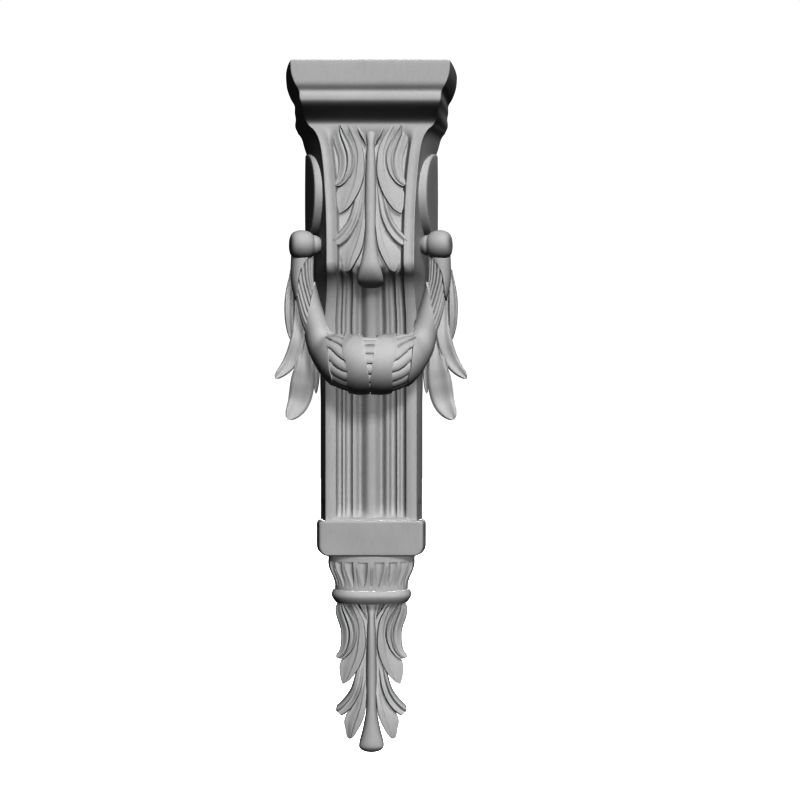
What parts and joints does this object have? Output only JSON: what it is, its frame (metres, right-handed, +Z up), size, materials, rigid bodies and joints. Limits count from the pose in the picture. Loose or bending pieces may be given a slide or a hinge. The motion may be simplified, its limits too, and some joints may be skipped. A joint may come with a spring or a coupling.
{
  "type": "corbel bracket",
  "caption": "Painted carved-wood corbel with a moulded cap, acanthus leaves, fluted shaft, ribbon-wrapped laurel garland and a leaf pendant.",
  "frame": {"origin": "on the flat back that bears on the wall, on the centre line, at half of the height", "axes": "+Z up along the bracket, +Y out of the back into the wall, so the carved front faces -Y"},
  "size_m": [0.1682, 0.0716, 0.6],
  "materials": {
    "body_paint": "satin grey paint over carved wood",
    "garland_paint": "satin grey paint over carved wood",
    "knob_paint": "satin grey paint over turned wood",
    "spray_paint": "satin grey paint over carved wood"
  },
  "bodies": {
    "root": {"bracket_body": "body_paint", "garland": "garland_paint", "knob_left": "knob_paint", "knob_right": "knob_paint", "leaf_spray_left": "spray_paint", "leaf_spray_right": "spray_paint"}
  },
  "joints": []
}
